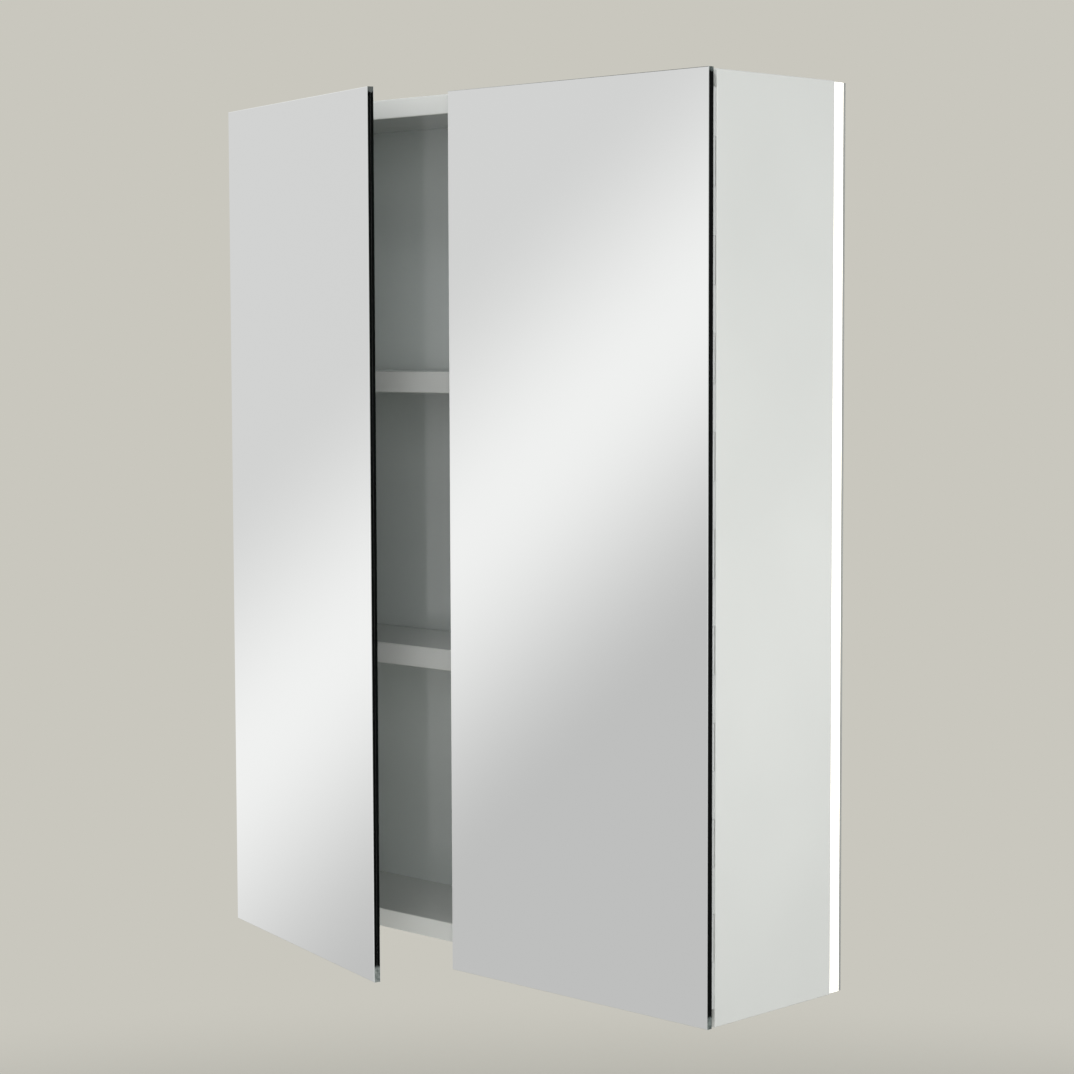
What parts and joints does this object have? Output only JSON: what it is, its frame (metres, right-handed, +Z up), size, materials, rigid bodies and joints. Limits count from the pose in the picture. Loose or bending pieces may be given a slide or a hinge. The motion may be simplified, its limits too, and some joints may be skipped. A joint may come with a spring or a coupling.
{
  "type": "mirror cabinet",
  "caption": "Wall-hung mirror cabinet with frameless double-sided mirror doors, shelves inside and a light frame behind the carcass that washes the wall.",
  "frame": {"origin": "centre of the four wall screws of the two wall hooks, on the wall plane", "axes": "+X to the right as seen from the front, +Y into the wall, +Z up"},
  "size_m": [0.599, 0.256, 0.772],
  "materials": {
    "white_lacquer": "gloss white lacquer on board",
    "beech": "raw beech",
    "mirror_glass": "silvered float glass",
    "black_film": "adhesive film",
    "satin_steel": "zinc plated, satin",
    "grey_powder_coat": "light grey powder coat on steel",
    "white_plastic": "moulded, fine grain",
    "clear_bumper": "clear soft polyurethane",
    "opal_acrylic": "opal, lit from within",
    "anodised_aluminium": "satin anodised",
    "led_tape": "white tape",
    "grey_sheet": "matt grey sheet",
    "lead_jacket": "smooth white jacket",
    "grommet_rubber": "matt black"
  },
  "bodies": {
    "carcass": {"back_cover": "grey_sheet", "back_panel": "white_lacquer", "bottom_diffuser": "opal_acrylic", "bottom_led_profile": "anodised_aluminium", "bottom_led_tape": "led_tape", "bottom_panel": "white_lacquer", "cable_grommet": "grommet_rubber", "carcass_dowels": "beech", "cover_blocks": "beech", "cover_screws": "satin_steel", "door_bumpers": "clear_bumper", "electric_screws": "satin_steel", "hanger_screws": "satin_steel", "led_driver": "white_plastic", "left_diffuser": "opal_acrylic", "left_hanger": "satin_steel", "left_hinge_fixed_leaf": "grey_powder_coat", "left_hinge_pin": "satin_steel", "left_hinge_screws": "satin_steel", "left_led_profile": "anodised_aluminium", "left_led_tape": "led_tape", "left_side_panel": "white_lacquer", "left_wall_hook": "satin_steel", "low_voltage_lead": "lead_jacket", "lower_shelf": "white_lacquer", "magnet_catches": "white_plastic", "mains_lead": "lead_jacket", "mains_terminal": "white_plastic", "profile_screws": "satin_steel", "right_diffuser": "opal_acrylic", "right_hanger": "satin_steel", "right_hinge_fixed_leaf": "grey_powder_coat", "right_hinge_pin": "satin_steel", "right_hinge_screws": "satin_steel", "right_led_profile": "anodised_aluminium", "right_led_tape": "led_tape", "right_side_panel": "white_lacquer", "right_wall_hook": "satin_steel", "shelf_pins": "satin_steel", "tape_corner_links": "led_tape", "top_diffuser": "opal_acrylic", "top_led_profile": "anodised_aluminium", "top_led_tape": "led_tape", "top_panel": "white_lacquer", "upper_shelf": "white_lacquer"},
    "left_door": {"left_front_pane": "mirror_glass", "left_bond_film": "black_film", "left_rear_pane": "mirror_glass", "left_hinge_moving_leaf": "grey_powder_coat", "left_strike": "satin_steel"},
    "right_door": {"right_front_pane": "mirror_glass", "right_bond_film": "black_film", "right_rear_pane": "mirror_glass", "right_hinge_moving_leaf": "grey_powder_coat", "right_strike": "satin_steel"}
  },
  "joints": [
    {"name": "left_door_hinge", "type": "hinge", "parent": "carcass", "child": "left_door", "pos_m": [-0.2969, -0.1679, 0], "axis": [0, 0, -1], "range_deg": [-15.8, 89.2]},
    {"name": "right_door_hinge", "type": "hinge", "parent": "carcass", "child": "right_door", "pos_m": [0.2969, -0.1679, 0], "axis": [0, 0, 1], "range_deg": [0, 105]}
  ]
}
